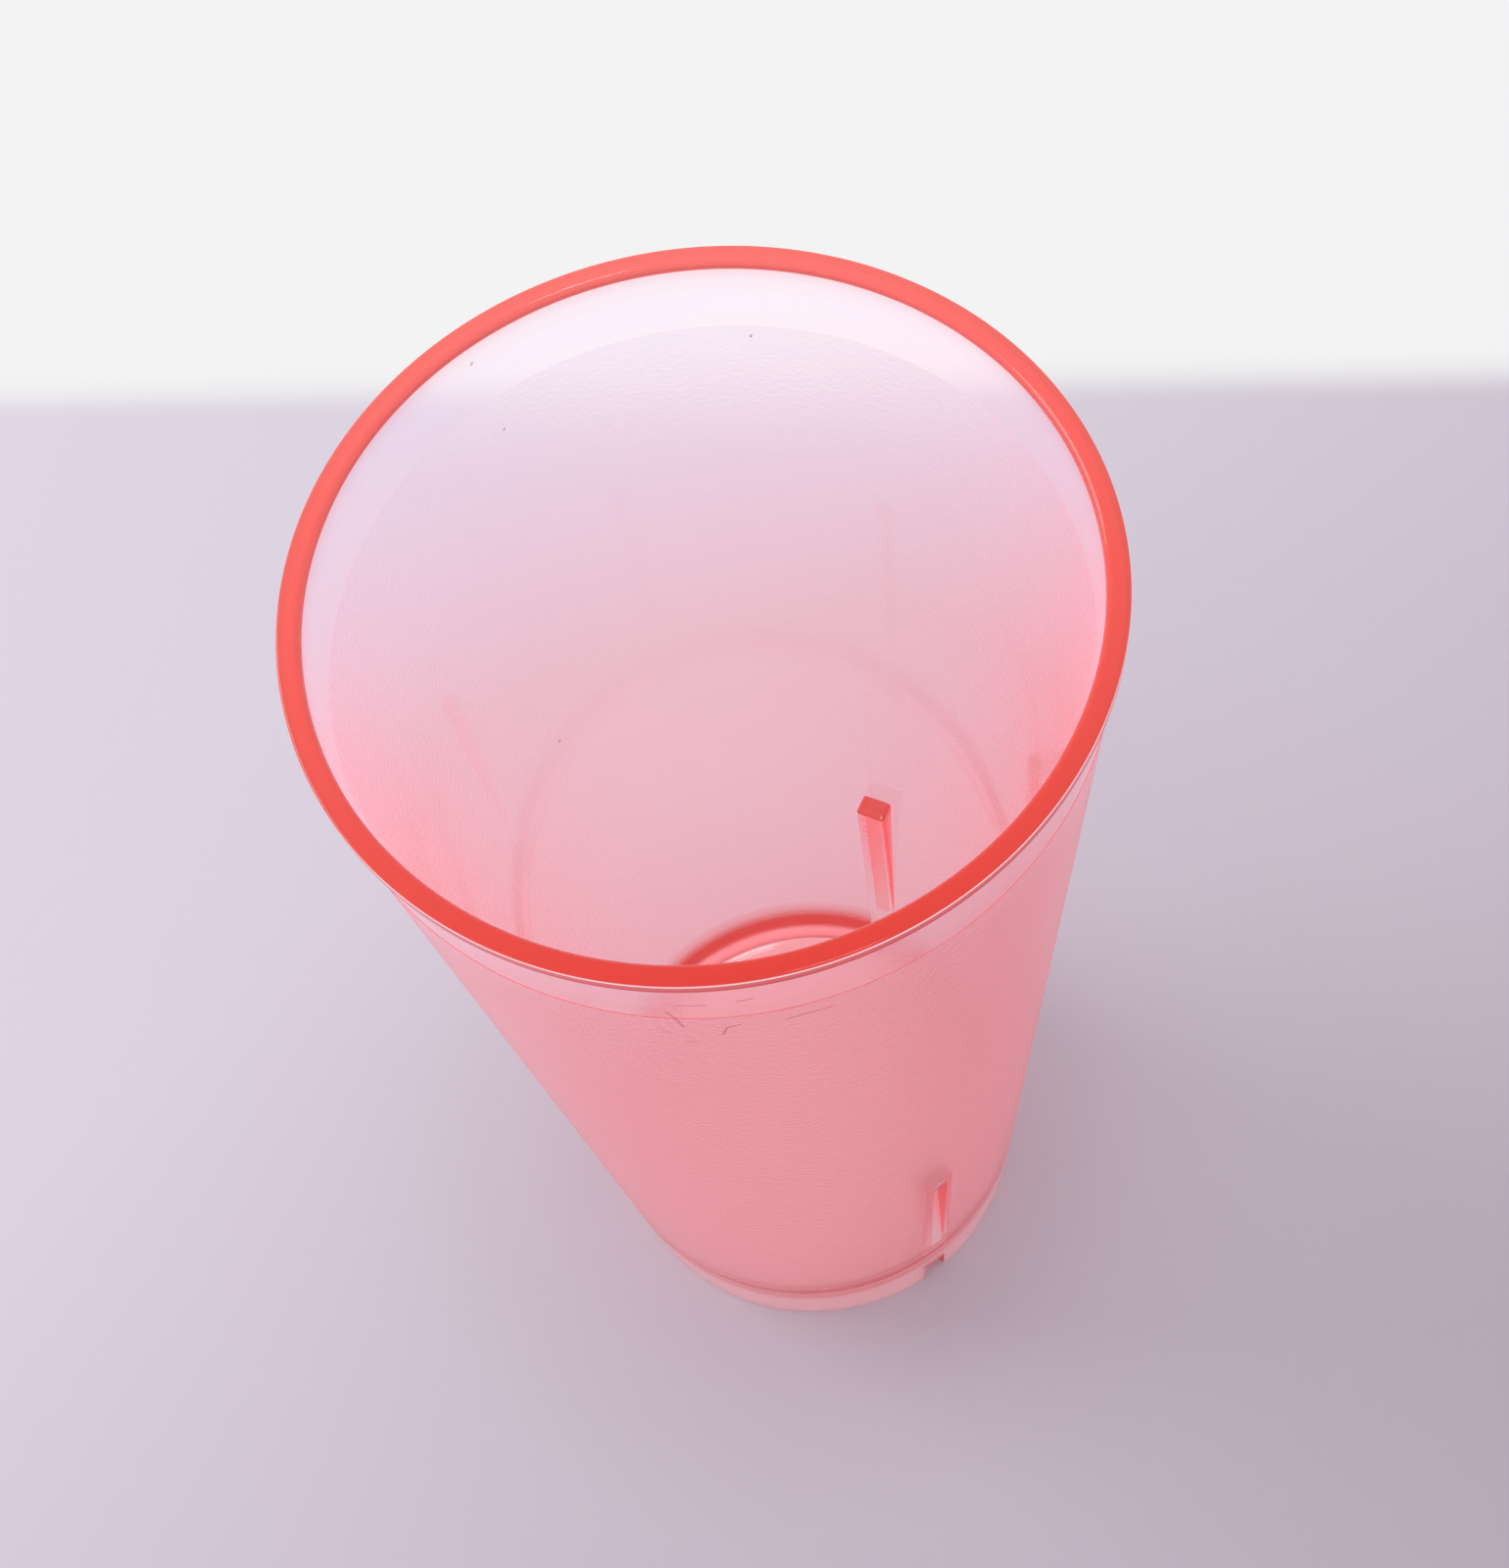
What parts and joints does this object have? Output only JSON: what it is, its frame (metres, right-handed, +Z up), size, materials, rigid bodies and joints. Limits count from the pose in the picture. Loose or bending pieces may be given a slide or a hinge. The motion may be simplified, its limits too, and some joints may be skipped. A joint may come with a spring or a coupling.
{
  "type": "plastic tumbler cup",
  "caption": "Tall tapered moulded cup with a square rim bead, raised floor in a foot skirt, and stacking lugs inside.",
  "frame": {"origin": "centre of the foot, on the surface that the cup stands on", "axes": "+Z up along the cup's axis, out of the mouth"},
  "size_m": [0.088, 0.088, 0.16],
  "materials": {
    "red_plastic": "translucent red moulded plastic, polished at the rim and finely frosted below it"
  },
  "bodies": {
    "root": {"tumbler": "red_plastic"}
  },
  "joints": []
}
